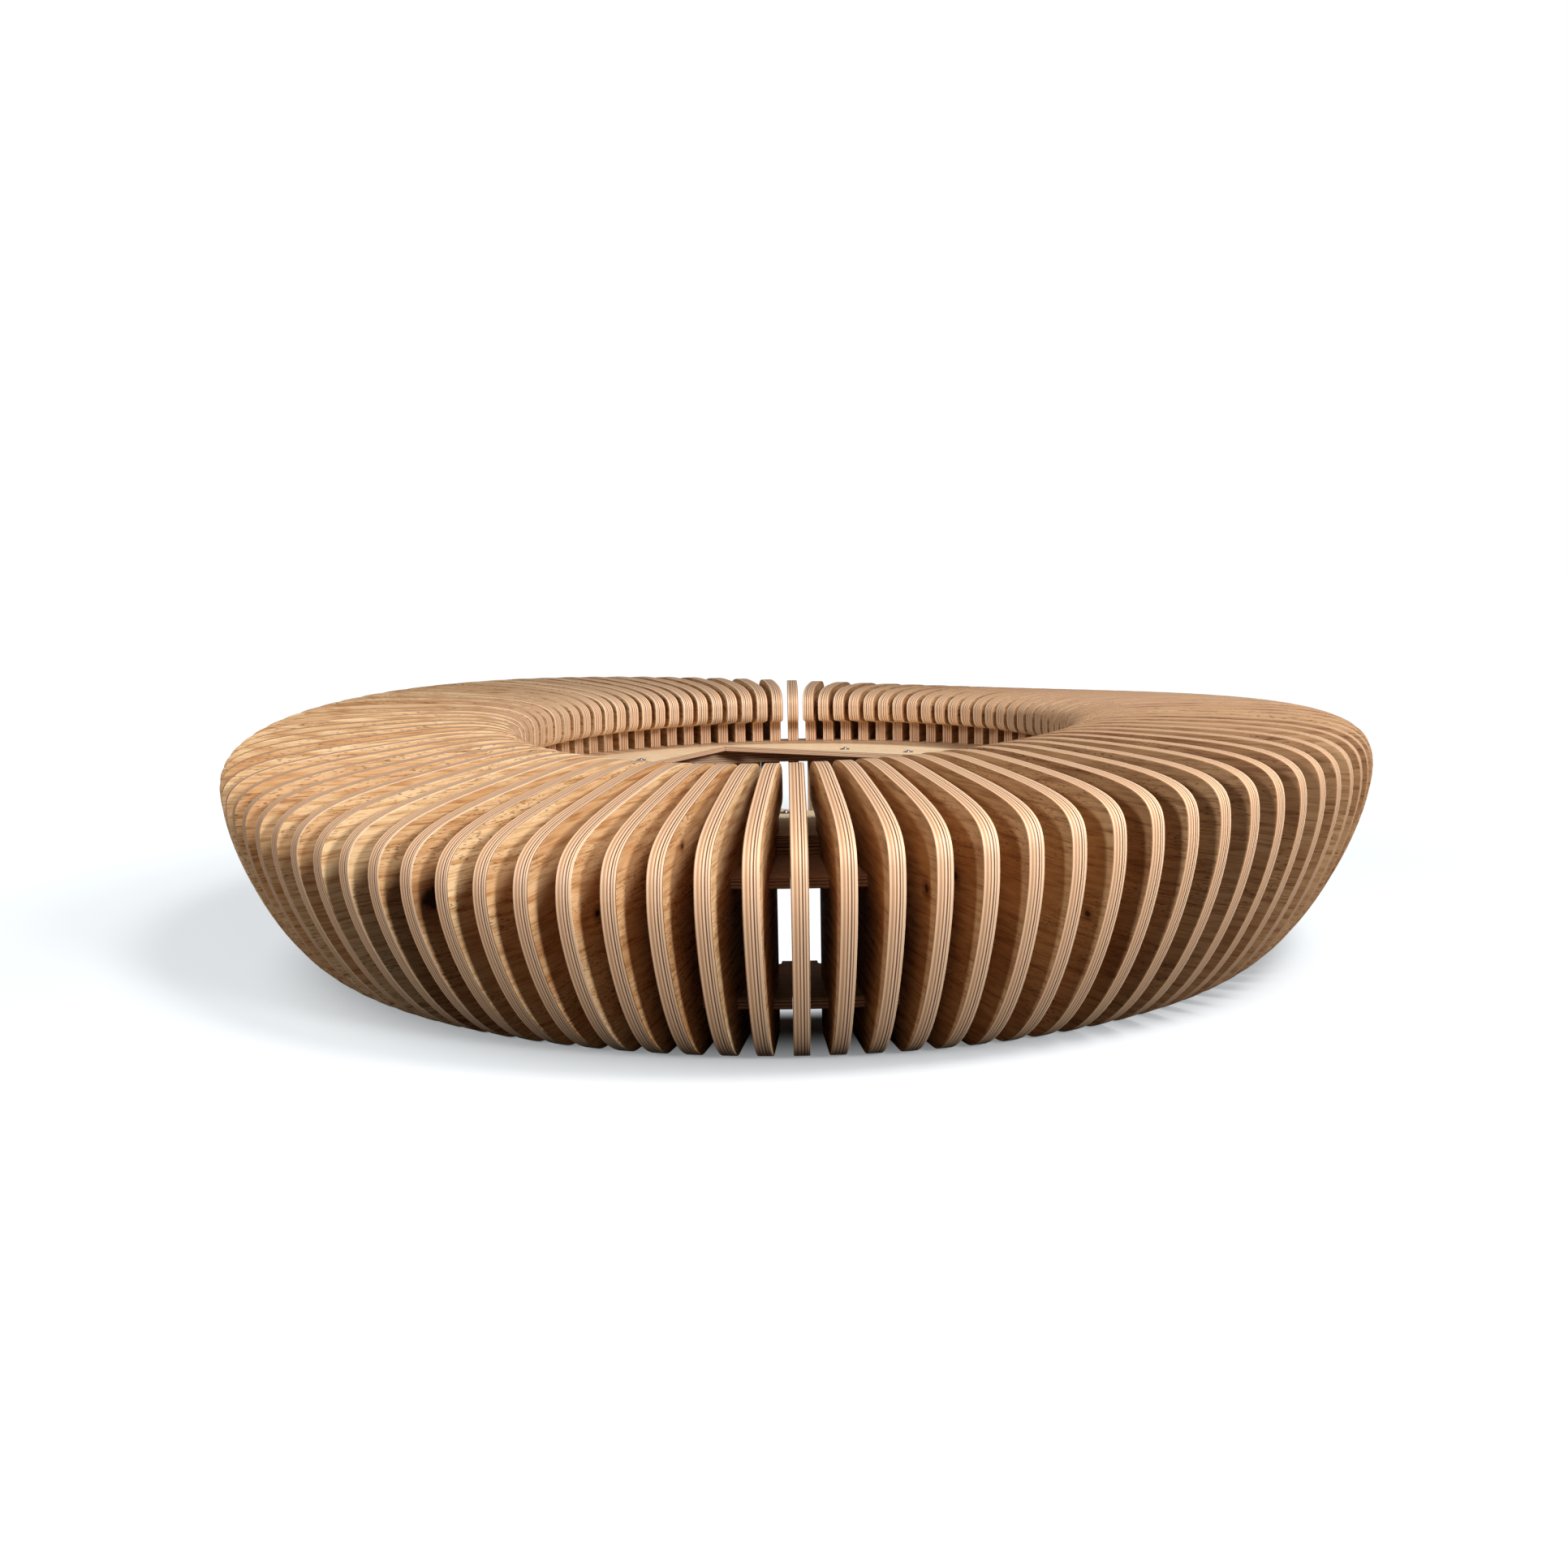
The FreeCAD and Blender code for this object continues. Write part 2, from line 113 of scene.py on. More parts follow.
class RibSizes(bpy.types.PropertyGroup):
    """Sizes of the ribs. Those that change round the bench have five values each."""
    sheet: length("Sheet", "Thickness of a rib", 27.0 * MM)
    arris: length("Arris", "Radius of the eased edges", 1.6 * MM)
    corner_cut: length("Corner cut", "How far sharp corners of the outline are cut back", 2.1 * MM)
    setback: length("Ring setback", "How far the ring centre lies in front of the origin", 82.2 * MM)
    shoulder_radius: round_lengths("Shoulder radius", ROUND, (1.1872, -0.0822, 0.0, 0.0, 0.0))
    shoulder_height: round_lengths("Shoulder height", ROUND,
                                   (0.3624, -0.0268, -0.0194, -0.0249, 0.0437))
    shoulder_fullness: round_shares("Shoulder fullness", ROUND, (0.72, -0.07, 0.055, -0.07, 0.039))
    crown_radius: length("Crown radius", "Radius at which the seat's height is given", 783.0 * MM)
    crown_height: round_lengths("Crown height", ROUND, (0.4722, -0.0155, -0.0005, -0.014, 0.0144))
    crown_slope: round_shares("Crown slope", ROUND, (-0.04, -0.053, 0.012, -0.029, 0.056))
    crown_fullness: round_shares("Crown fullness", ROUND, (0.859, -0.004, 0.052, 0.106, 0.064))
    nose_radius: length("Nose radius", "Radius of the inner end of the seat", 578.0 * MM)
    nose_reach: length("Nose reach", "Pull of the crown towards the nose", 224.1 * MM)
    nose_fullness: share("Nose fullness", "How upright the nose is", 0.517)
    nose_underside: round_lengths("Nose underside", ROUND, (0.3835, -0.0135, 0.0, 0.0, 0.0))
    nose_corner: length("Nose corner", "Rounding under the nose", 28.0 * MM)
    nose_fall: length("Nose fall", "How much the underside falls towards the haunch", 12.0 * MM)
    haunch_radius: length("Haunch radius", "Radius of the step that rests on the cover", 689.0 * MM)
    cover_top: length("Cover top", "Height of the cover boards' top", 337.0 * MM)
    stem_top: length("Stem top radius", "Radius of the stem at the cover", 758.5 * MM)
    stem_foot: length("Stem foot radius", "Radius of the stem on the floor", 751.0 * MM)
    foot_radius: round_lengths("Foot radius", ROUND, (0.951, -0.0561, -0.0129, -0.0028, 0.0068))
    foot_angle: angle("Foot angle", "Slope at which the flank starts", math.radians(16.8))
    foot_reach: length("Foot reach", "Pull of the flank at the foot", 123.9 * MM)
    foot_corner: length("Foot corner", "Rounding at the toe", 11.0 * MM)
    shoulder_drop: share("Shoulder drop", "Pull of the flank below the shoulder", 0.271)
    ring_sheet: length("Ring sheet", "Thickness of the rings", 18.0 * MM)
    slot_gap: length("Slot gap", "Height of the air over a ring in a rib's slot", 0.5 * MM)
    lower_ring: length("Lower ring", "Height of the lower ring's underside", 78.0 * MM)
    upper_ring: length("Upper ring", "Height of the upper ring's underside", 286.0 * MM)
    lower_lap: length("Lower lap radius", "Radius at which the lower slots end", 821.0 * MM)
    upper_lap: length("Upper lap radius", "Radius at which the upper slots end", 846.25 * MM)


class WoodColours(bpy.types.PropertyGroup):
    """Colours of the plywood."""
    honey: colour("Honey", "Light figure of the better veneer", tint(240, 204, 156))
    amber: colour("Amber", "Middle of the better veneer", tint(206, 158, 106))
    russet: colour("Russet", "Dark streaks of the better veneer", tint(128, 84, 44))
    # The backing veneer's colours are darker than the better veneer's: partly a real backing veneer, partly
    # painted shade on the rib faces that carry it
    tan: colour("Tan", "Light figure of the backing veneer", tint(202, 162, 118))
    brown: colour("Brown", "Middle of the backing veneer", tint(170, 128, 88))
    umber: colour("Umber", "Dark streaks of the backing veneer", tint(92, 58, 34))
    cream: colour("Cream", "Palest layer seen on a sawn edge", tint(242, 206, 172))
    straw: colour("Straw", "Plain layer seen on a sawn edge", tint(210, 164, 128))
    biscuit: colour("Biscuit", "Faint line between layers", tint(190, 144, 102))
    toffee: colour("Toffee", "Clear line between layers", tint(158, 110, 72))
    cocoa: colour("Cocoa", "Darkest line between layers", tint(118, 76, 48))
    cover_pale: colour("Cover pale", "Light grain of the cover boards", tint(250, 224, 186))
    cover_grain: colour("Cover grain", "Grain lines of the cover boards", tint(226, 188, 142))
    knot: colour("Knot", "Knots in the veneer", tint(52, 32, 20))


class StudioSettings(bpy.types.PropertyGroup):
    """Light and camera."""
    key_power: power("Key power", "Power of the high lamp on the right", 390.0)
    right_power: power("Right power", "Power of the low lamp on the right", 235.0)
    left_power: power("Left power", "Power of the low lamp on the left", 129.25)
    sky: share("Sky", "Brightness of the light from above", 0.16)
    focal: bpy.props.FloatProperty(name="Focal length", description="Focal length of the lens, mm",
                                   default=37.267, unit="CAMERA")
    eye: bpy.props.FloatVectorProperty(name="Eye", description="Place of the camera", unit="LENGTH",
                                       size=3, default=(-0.0134, -3.5274, 0.805), precision=4)
    pitch: angle("Pitch", "How far the camera looks down", 0.13923)
    yaw: angle("Yaw", "How far the camera turns to the left", 0.0030)
    roll: angle("Roll", "How far the camera leans", -0.01886)


class BenchSettings(bpy.types.PropertyGroup):
    """All settings of the tree bench."""
    ribs: bpy.props.PointerProperty(type=RibSizes)
    wood: bpy.props.PointerProperty(type=WoodColours)
    studio: bpy.props.PointerProperty(type=StudioSettings)


def settings():
    """The bench's settings in the open scene."""
    return bpy.context.scene.tree_bench


# Outlines of the ribs

def round_value(values, angles):
    """A size at each rib angle a.

    It is mean + front cos a + right sin a + front_twice cos 2a + right_twice sin 2a.
    """
    mean, front, right, front_twice, right_twice = values
    once = front * np.cos(angles) + right * np.sin(angles)
    twice = front_twice * np.cos(2.0 * angles) + right_twice * np.sin(2.0 * angles)
    return mean + once + twice


def spot(radius, height):
    """Points (radius, height) of all ribs as one array."""
    radius, height = np.broadcast_arrays(radius, height)
    return np.stack([radius, height], axis=-1)


def curve(poles, shares):
    """Bezier curves of all ribs: the sum over k of C(n,k) (1-u)^(n-k) u^k pole_k at the shares u."""
    order = len(poles) - 1
    weights = [math.comb(order, k) * (1.0 - shares) ** (order - k) * shares ** k
               for k in range(order + 1)]
    return sum(weight[None, :, None] * pole[:, None, :] for weight, pole in zip(weights, poles))


def cut_corners(before, corners, after, cut):
    """Each corner becomes two points, the cut's length before it and behind it along its edges."""
    here = np.stack(corners, axis=1)
    chain = np.concatenate([before[:, None], here, after[:, None]], axis=1)

    def towards(other):
        step = other - here
        return here + cut * step / np.linalg.norm(step, axis=-1, keepdims=True)

    pairs = np.stack([towards(chain[:, :-2]), towards(chain[:, 2:])], axis=2)
    return pairs.reshape(len(here), -1, 2)


def rib_outlines(size, angles):
    """The outlines of all ribs, from the heel round by the toe, shoulder, crown and nose.

    The flank and both halves of the seat are cubic Bezier curves, the toe and the corner under the nose
    are square ones, and the rest is straight.
    """
    shoulder = spot(round_value(size.shoulder_radius, angles), round_value(size.shoulder_height, angles))
    crown = spot(size.crown_radius, round_value(size.crown_height, angles))
    underside = round_value(size.nose_underside, angles)
    nose = spot(size.nose_radius, underside + size.nose_corner)
    foot = spot(round_value(size.foot_radius, angles), np.zeros_like(angles))
    gap = crown - shoulder
    outwards = spot(np.ones_like(angles), round_value(size.crown_slope, angles))
    rise = spot(np.zeros_like(angles), round_value(size.shoulder_fullness, angles) * gap[:, 1])
    reach = (round_value(size.crown_fullness, angles) * -gap[:, 0])[:, None]
    lift = spot(np.zeros_like(angles), size.nose_fullness * (crown - nose)[:, 1])
    drop = spot(np.zeros_like(angles), size.shoulder_drop * shoulder[:, 1])
    pull = size.foot_reach * np.array([math.cos(size.foot_angle), math.sin(size.foot_angle)])

    start = size.foot_corner / (3.0 * size.foot_reach)
    flank = curve([foot, foot + pull, shoulder - drop, shoulder],
                  start + (1.0 - start) * np.linspace(0, 1, 20))
    toe = foot - np.array([size.foot_corner, 0.0])
    toe_curve = curve([toe, foot, flank[:, 0]], np.linspace(0, 1, 5)[:-1])
    seat = curve([shoulder, shoulder + rise, crown + outwards * reach, crown],
                 np.linspace(0, 1, 30)[1:] ** 1.35)
    lip = curve([crown, crown - outwards * size.nose_reach, nose + lift, nose],
                1.0 - (1.0 - np.linspace(0, 1, 24)[1:]) ** 1.3)
    nose_back = spot(size.nose_radius + size.nose_corner, underside)
    chin = curve([nose, spot(size.nose_radius, underside), nose_back], np.linspace(0, 1, 8)[1:])

    def stem(height):
        return size.stem_foot + (size.stem_top - size.stem_foot) * height / size.cover_top

    def slot(low, lap):
        high = low + size.ring_sheet + size.slot_gap
        return [(stem(high), high), (lap, high), (lap, low), (stem(low), low)]

    fixed = [(size.haunch_radius, size.cover_top), (size.stem_top, size.cover_top)]
    fixed += slot(size.upper_ring, size.upper_lap) + slot(size.lower_ring, size.lower_lap)
    fixed += [(size.stem_foot, 0.0)]
    corners = [spot(size.haunch_radius, underside - size.nose_fall)]
    corners += [np.broadcast_to(np.array(place), nose.shape) for place in fixed]
    inside = cut_corners(nose_back, corners, toe, size.corner_cut)
    return np.concatenate([toe_curve, flank, seat, lip, chin, inside], axis=1)


def rib_rows(size):
    """Places across the sheet, and how far the outline is drawn in there: a quarter round at each face."""
    half = size.sheet / 2.0
    turn = np.radians([0.0, 45.0, 90.0])
    across = half - size.arris * (1.0 - np.cos(turn))
    inset = size.arris * (1.0 - np.sin(turn))
    side = np.cos(turn)
    return (np.concatenate([-across, across[::-1]]), np.concatenate([inset, inset[::-1]]),
            np.concatenate([-side, side[::-1]]))


def rib_faces(ribs, rows, points):
    """The outline's bands as quads and both faces as one polygon each, for ribs kept one after another."""
    i = np.arange(points)
    after = (i + 1) % points
    row = np.arange(rows - 1)[:, None] * points
    band = np.stack([row + i, row + points + i, row + points + after, row + after], axis=-1).reshape(-1, 4)
    faces = []
    for rib in range(ribs):
        first = rib * rows * points
        faces += (band + first).tolist()
        faces.append((i + first).tolist())
        faces.append((i[::-1] + first + (rows - 1) * points).tolist())
    return faces


# Ribs with a knot of their own: its radius from the ring centre, its height and its size
KNOTS = {87: (1.072, 0.275, 0.020), 91: (1.02, 0.26, 0.006), 7: (1.05, 0.24, 0.005)}


def build_ribs(size):
    """Arrays for all ribs: corners, normals and three attributes that the veneer and its layers follow.

    A point of rib a is centre + R (sin a, -cos a, 0) + s (cos a, sin a, 0) + z, where (R, z) goes round
    the outline and s across the sheet.
    """
    numbers = np.arange(RIB_COUNT)
    angles = 2.0 * math.pi * numbers / RIB_COUNT
    outline = rib_outlines(size, angles)
    step = np.roll(outline, -1, axis=1) - np.roll(outline, 1, axis=1)
    outward = np.stack([step[..., 1], -step[..., 0]], axis=-1)
    outward /= np.linalg.norm(outward, axis=-1, keepdims=True)
    across, inset, side = rib_rows(size)
    flat = outline[:, None] - inset[None, :, None, None] * outward[:, None]
    s = np.broadcast_to(across[None, :, None], flat.shape[:3])

    out = np.stack([np.sin(angles), -np.cos(angles)], axis=-1)[:, None, None]
    along = np.stack([np.cos(angles), np.sin(angles)], axis=-1)[:, None, None]
    place = np.empty(flat.shape[:3] + (3,))
    place[..., :2] = flat[..., :1] * out + s[..., None] * along
    place[..., 1] -= size.setback
    place[..., 2] = flat[..., 1]
    front = np.sqrt(1.0 - side ** 2)[None, :, None, None]
    normal = np.empty_like(place)
    normal[..., :2] = front * outward[:, None, :, :1] * out + side[None, :, None, None] * along
    normal[..., 2] = (front * outward[:, None, :, 1:])[..., 0]

    # Each rib's veneer lies a little turned and shifted, so that no two show the same figure
    chance = np.random.default_rng(41)
    lean = np.radians(chance.uniform(-3.5, 3.5, RIB_COUNT))[:, None, None]
    shift = chance.uniform(0.0, 40.0, (RIB_COUNT, 1, 1, 2))
    better = chance.uniform(0.0, 1.0, RIB_COUNT)
    shaded_backing = chance.uniform(0.0, 1.0, RIB_COUNT)

    def on_sheet(radius, height):
        return np.stack([radius * np.cos(lean) + height * np.sin(lean),
                         height * np.cos(lean) - radius * np.sin(lean)], axis=-1) + shift

    plank = np.concatenate([on_sheet(flat[..., 0], flat[..., 1]), s[..., None]], axis=-1)
    lengths = np.linalg.norm(np.diff(outline, axis=1), axis=-1)
    run = np.concatenate([np.zeros((RIB_COUNT, 1)), np.cumsum(lengths, axis=1)], axis=1)
    sheet = np.stack(np.broadcast_arrays(run[:, None] + shift[..., 0], better[:, None, None],
                                         shaded_backing[:, None, None] + 0.0 * s), axis=-1)
    knots = np.zeros((RIB_COUNT, 3))
    few = chance.random(RIB_COUNT) < 0.3
    knots[few] = np.stack([chance.uniform(0.90, 1.06, few.sum()), chance.uniform(0.14, 0.38, few.sum()),
                           chance.uniform(0.004, 0.009, few.sum())], axis=-1)
    for number, values in KNOTS.items():
        knots[number] = values
    centre = on_sheet(knots[:, None, None, 0], knots[:, None, None, 1])
    knot = np.concatenate([np.broadcast_to(centre, flat.shape),
                           np.broadcast_to(knots[:, None, None, 2:], flat.shape[:3] + (1,))], axis=-1)
    return place, normal, {"plank": plank, "sheet": sheet, "knot": knot}


def make_object(name, corners, faces, material, normals=None, attributes=None):
    """A mesh object at the origin, smooth, with its own corner normals and point attributes."""
    mesh = bpy.data.meshes.new(name)
    mesh.from_pydata(np.asarray(corners).reshape(-1, 3).tolist(), [], faces)
    mesh.materials.append(material)
    for label, values in (attributes or {}).items():
        layer = mesh.attributes.new(label, "FLOAT_VECTOR", "POINT")
        layer.data.foreach_set("vector", np.asarray(values, np.float32).ravel())
    mesh.polygons.foreach_set("use_smooth", np.ones(len(mesh.polygons), bool))
    if normals is not None:
        mesh.normals_split_custom_set_from_vertices(np.asarray(normals).reshape(-1, 3).tolist())
    mesh.update()
    piece = bpy.data.objects.new(name, mesh)
    bpy.context.scene.collection.objects.link(piece)
    return piece


# Materials

def add_node(tree, kind, inputs=None, **options):
    """A node with its options set, and its inputs joined to a socket or set to a value."""
    node = tree.nodes.new(kind)
    for name, value in options.items():
        setattr(node, name, value)
    for key, value in (inputs or {}).items():
        if isinstance(value, bpy.types.NodeSocket):
            tree.links.new(value, node.inputs[key])
        else:
            node.inputs[key].default_value = value
    return node


def work_out(tree, operation, *values, clamp=False):
    """The result of a math node."""
    node = add_node(tree, "ShaderNodeMath", dict(enumerate(values)), operation=operation, use_clamp=clamp)
    return node.outputs[0]


def vector_work(tree, operation, first, second=(0.0, 0.0, 0.0)):
    """The result of a vector math node."""
    node = add_node(tree, "ShaderNodeVectorMath", {0: first, 1: second}, operation=operation)
    return node.outputs["Value" if operation in ("LENGTH", "DISTANCE") else 0]


def full(rgb):
    """A colour with its alpha."""
    return (*rgb, 1.0)


def mix(tree, factor, first, second, blend="MIX"):
    """Two colours mixed by a factor."""
    node = tree.nodes.new("ShaderNodeMix")
    node.data_type = "RGBA"
    node.blend_type = blend
    for index, value in ((0, factor), (6, first), (7, second)):
        if isinstance(value, bpy.types.NodeSocket):
            tree.links.new(value, node.inputs[index])
        else:
            node.inputs[index].default_value = value if index == 0 else full(value)
    return node.outputs[2]


def step_between(tree, value, low, high):
    """0 below low, 1 above high, smooth between."""
    node = add_node(tree, "ShaderNodeMapRange", {"Value": value, "From Min": low, "From Max": high},
                    interpolation_type="SMOOTHSTEP")
    return node.outputs["Result"]


def ramp(tree, factor, stops):
    """A colour that goes through the stops, each a place and a colour."""
    node = tree.nodes.new("ShaderNodeValToRGB")
    elements = node.color_ramp.elements
    elements[0].position, elements[0].color = stops[0][0], full(stops[0][1])
    elements[1].position, elements[1].color = stops[-1][0], full(stops[-1][1])
    for place, rgb in stops[1:-1]:
        element = elements.new(place)
        element.color = full(rgb)
    tree.links.new(factor, node.inputs["Fac"])
    return node.outputs["Color"]


def new_group(name, inputs, outputs):
    """A shader node group with named sockets, and its input and output nodes."""
    group = bpy.data.node_groups.new(name, "ShaderNodeTree")
    for label, kind in inputs:
        group.interface.new_socket(label, in_out="INPUT", socket_type=kind)
    for label, kind in outputs:
        group.interface.new_socket(label, in_out="OUTPUT", socket_type=kind)
    return group, group.nodes.new("NodeGroupInput").outputs, group.nodes.new("NodeGroupOutput").inputs


def veneer_group():
    """Sliced oak: wandering growth lines, fine fibres, short pores and cloudy patches."""
    group, given, result = new_group("Veneer grain", [("Place", "NodeSocketVector")],
                                     [("Figure", "NodeSocketFloat"), ("Pores", "NodeSocketFloat"),
                                      ("Clouds", "NodeSocketFloat"), ("Height", "NodeSocketFloat")])

    # Cells to the metre, along the grain and across it
    def stretched(x, y, z):
        return vector_work(group, "MULTIPLY", given["Place"], (x, y, z))

    def noise(vector, detail, roughness=0.5):
        node = add_node(group, "ShaderNodeTexNoise", {"Vector": vector, "Scale": 1.0, "Detail": detail,
                                                      "Roughness": roughness})
        return node.outputs["Fac"]

    lines = add_node(group, "ShaderNodeTexWave",
                     {"Vector": stretched(0.22, 1.0, 1.0), "Scale": 16.0, "Distortion": 22.0, "Detail": 2.0,
                      "Detail Scale": 0.32, "Detail Roughness": 0.5},
                     wave_type="BANDS", bands_direction="Y", wave_profile="SAW")
    fibres = noise(stretched(14.0, 380.0, 1.0), 2.0, 0.5)
    streaks = noise(stretched(11.0, 90.0, 1.0), 3.0)
    pores = step_between(group, noise(stretched(70.0, 380.0, 1.0), 1.0), 0.58, 0.66)
    patches = step_between(group, noise(stretched(3.0, 11.0, 1.0), 2.0), 0.40, 0.60)
    pores = work_out(group, "MULTIPLY", pores, patches)
    clouds = noise(stretched(3.6, 9.0, 1.0), 3.0, 0.55)
    figure = work_out(group, "MULTIPLY_ADD", lines.outputs["Fac"], 0.20, -0.10)
    figure = work_out(group, "ADD", figure, work_out(group, "MULTIPLY_ADD", fibres, 0.8, -0.4))
    figure = work_out(group, "ADD", figure, work_out(group, "MULTIPLY_ADD", streaks, 0.95, -0.475))
    figure = work_out(group, "ADD", figure, 0.62, clamp=True)
    height = work_out(group, "MULTIPLY_ADD", pores, -1.0, fibres)
    group.links.new(figure, result["Figure"])
    group.links.new(pores, result["Pores"])
    group.links.new(clouds, result["Clouds"])
    group.links.new(height, result["Height"])
    return group


def knot_group():
    """A knot: a dark heart with a torn rim and a brown halo round it."""
    group, given, result = new_group("Knot", [("Place", "NodeSocketVector"), ("Centre", "NodeSocketVector"),
                                              ("Radius", "NodeSocketFloat")],
                                     [("Heart", "NodeSocketFloat"), ("Halo", "NodeSocketFloat")])
    off = vector_work(group, "SUBTRACT", given["Place"], given["Centre"])
    off = vector_work(group, "MULTIPLY", off, (0.75, 1.0, 0.0))
    far = vector_work(group, "LENGTH", off)
    torn = add_node(group, "ShaderNodeTexNoise", {"Vector": given["Place"], "Scale": 90.0, "Detail": 3.0})
    size = work_out(group, "MAXIMUM", given["Radius"], 0.0001)
    near = work_out(group, "DIVIDE", far, size)
    near = work_out(group, "ADD", near, work_out(group, "MULTIPLY_ADD", torn.outputs["Fac"], 0.9, -0.45))
    heart = work_out(group, "SUBTRACT", 1.0, step_between(group, near, 0.7, 1.1))
    halo = work_out(group, "SUBTRACT", 1.0, step_between(group, near, 1.0, 3.2))
    group.links.new(heart, result["Heart"])
    group.links.new(halo, result["Halo"])
    return group


# Where the colour changes across a sawn edge, in mm through the sheet
RIB_LINES = [
    (0.0, "cocoa"), (0.9, "toffee"), (1.5, "straw"), (3.0, "cream"), (5.2, "straw"), (5.9, "biscuit"),
    (7.3, "biscuit"), (8.0, "straw"), (10.6, "cream"), (11.4, "toffee"), (13.0, "toffee"), (13.8, "cream"),
    (16.0, "cream"), (16.6, "cocoa"), (18.3, "cocoa"), (18.9, "cream"), (20.4, "cream"), (20.9, "toffee"),
    (22.1, "toffee"), (22.7, "cream"), (25.0, "cream"), (25.6, "biscuit"), (27.0, "biscuit"),
]
BOARD_LINES = [
    (0.0, "toffee"), (1.0, "straw"), (2.6, "cream"), (3.4, "toffee"), (4.4, "straw"), (6.4, "cream"),
    (7.4, "cocoa"), (8.4, "straw"), (9.8, "cream"), (10.6, "toffee"), (11.4, "straw"), (12.0, "cream"),
]


def layers_group(wood, name, sheet, lines):
    """The layers on a sawn edge of plywood, across a coordinate that is 0 to 1 through the sheet."""
    group, given, result = new_group(name, [("Across", "NodeSocketFloat"), ("Along", "NodeSocketVector")],
                                     [("Color", "NodeSocketColor"), ("Height", "NodeSocketFloat")])

    def noise(x, y, z, detail):
        vector = vector_work(group, "MULTIPLY", given["Along"], (x, y, z))
        node = add_node(group, "ShaderNodeTexNoise", {"Vector": vector, "Scale": 1.0, "Detail": detail})
        return node.outputs["Fac"]

    wander = work_out(group, "MULTIPLY_ADD", noise(5.0, 1.0, 1.0, 1.0), 0.014, -0.007)
    across = work_out(group, "ADD", given["Across"], wander, clamp=True)
    base = ramp(group, across, [(place / sheet, getattr(wood, label)) for place, label in lines])
    hatch = noise(520.0, 130.0, 1.0, 2.0)
    streak = noise(14.0, 900.0, 1.0, 2.0)
    shade = work_out(group, "ADD", work_out(group, "MULTIPLY_ADD", hatch, 0.06, -0.03),
                     work_out(group, "MULTIPLY_ADD", streak, 0.08, -0.04))
    light = work_out(group, "ADD", shade, 1.0)
    both = add_node(group, "ShaderNodeCombineColor", {0: light, 1: light, 2: light})
    shown = mix(group, 1.0, base, both.outputs["Color"], "MULTIPLY")
    bright = add_node(group, "ShaderNodeRGBToBW", {"Color": base})
    group.links.new(shown, result["Color"])
    group.links.new(work_out(group, "ADD", bright.outputs[0], shade), result["Height"])
    return group


def new_material(name):
    """A material, its node tree and the Principled shader in it."""
    material = bpy.data.materials.new(name)
    material.use_nodes = True
    shader = material.node_tree.nodes["Principled BSDF"]
    shader.inputs["Specular IOR Level"].default_value = 0.35
    return material, material.node_tree, shader


def place_group(tree, group, inputs):
    """A node that holds the group, with its inputs joined."""
    node = tree.nodes.new("ShaderNodeGroup")
    node.node_tree = group
    for label, socket in inputs.items():
        tree.links.new(socket, node.inputs[label])
    return node.outputs


def attribute(tree, name):
    """A mesh attribute as a vector."""
    node = add_node(tree, "ShaderNodeAttribute", attribute_name=name)
    return node.outputs["Vector"]


def parts_of(tree, vector):
    """The three parts of a vector."""
    return add_node(tree, "ShaderNodeSeparateXYZ", {0: vector}).outputs


def bump(tree, shader, height, strength):
    """Raises the shader's surface by up to BUMP_HEIGHT."""
    node = add_node(tree, "ShaderNodeBump", {"Height": height, "Strength": strength,
                                             "Distance": BUMP_HEIGHT})
    tree.links.new(node.outputs["Normal"], shader.inputs["Normal"])


